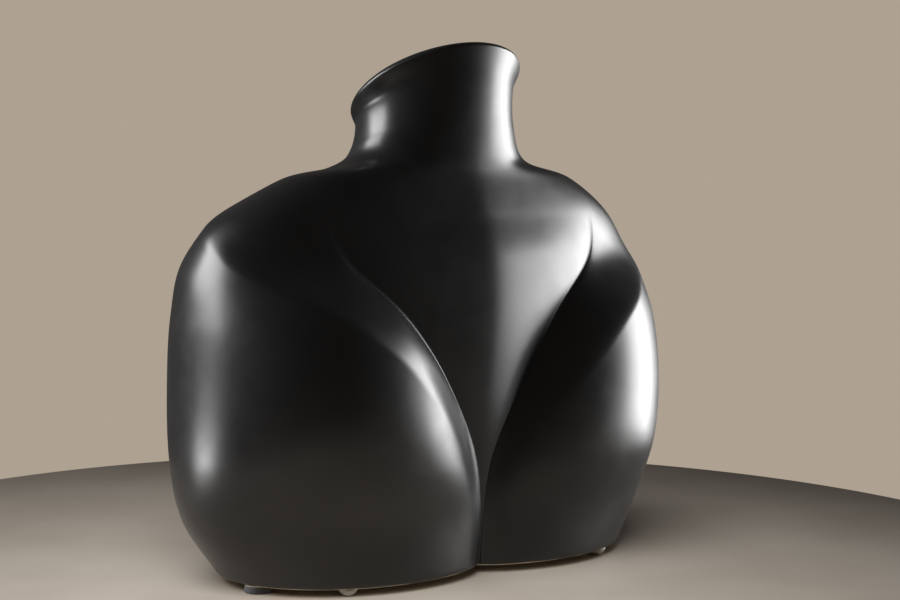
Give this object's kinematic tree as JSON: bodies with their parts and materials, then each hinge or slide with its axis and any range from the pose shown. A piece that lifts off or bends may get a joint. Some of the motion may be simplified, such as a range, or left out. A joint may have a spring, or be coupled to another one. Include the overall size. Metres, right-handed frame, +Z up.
{
  "type": "bust-shaped vase",
  "caption": "Free-standing hollow vase shaped like a headless bust, black-glazed over pale clay, with a slanted open neck for stems and stick-on feet.",
  "frame": {"origin": "centre of the overall box, on the plane the feet stand on", "axes": "+X to the right-hand lobe as seen from the front, +Y to the back, +Z up; the front with the cleft faces -Y"},
  "size_m": [0.239, 0.115, 0.2192],
  "materials": {
    "clay": "bare fired clay, matt cream",
    "satin_black_glaze": "satin, soft broad highlights",
    "inner_black_glaze": "satin black, a little glossier than the outside",
    "grey_foam": "matt closed-cell foam",
    "clear_bumper": "clear soft plastic that shows the cream clay through it",
    "adhesive_film": "thin translucent adhesive"
  },
  "bodies": {
    "root": {"clay_body": "clay", "outer_glaze": "satin_black_glaze", "inner_glaze": "inner_black_glaze", "foam_pad_left": "grey_foam", "foam_pad_right": "grey_foam", "foam_pad_back_left": "grey_foam", "foam_pad_back_right": "grey_foam", "dome_bumper_left": "clear_bumper", "dome_bumper_right": "clear_bumper", "pad_adhesive": "adhesive_film", "bumper_adhesive": "adhesive_film"}
  },
  "joints": []
}
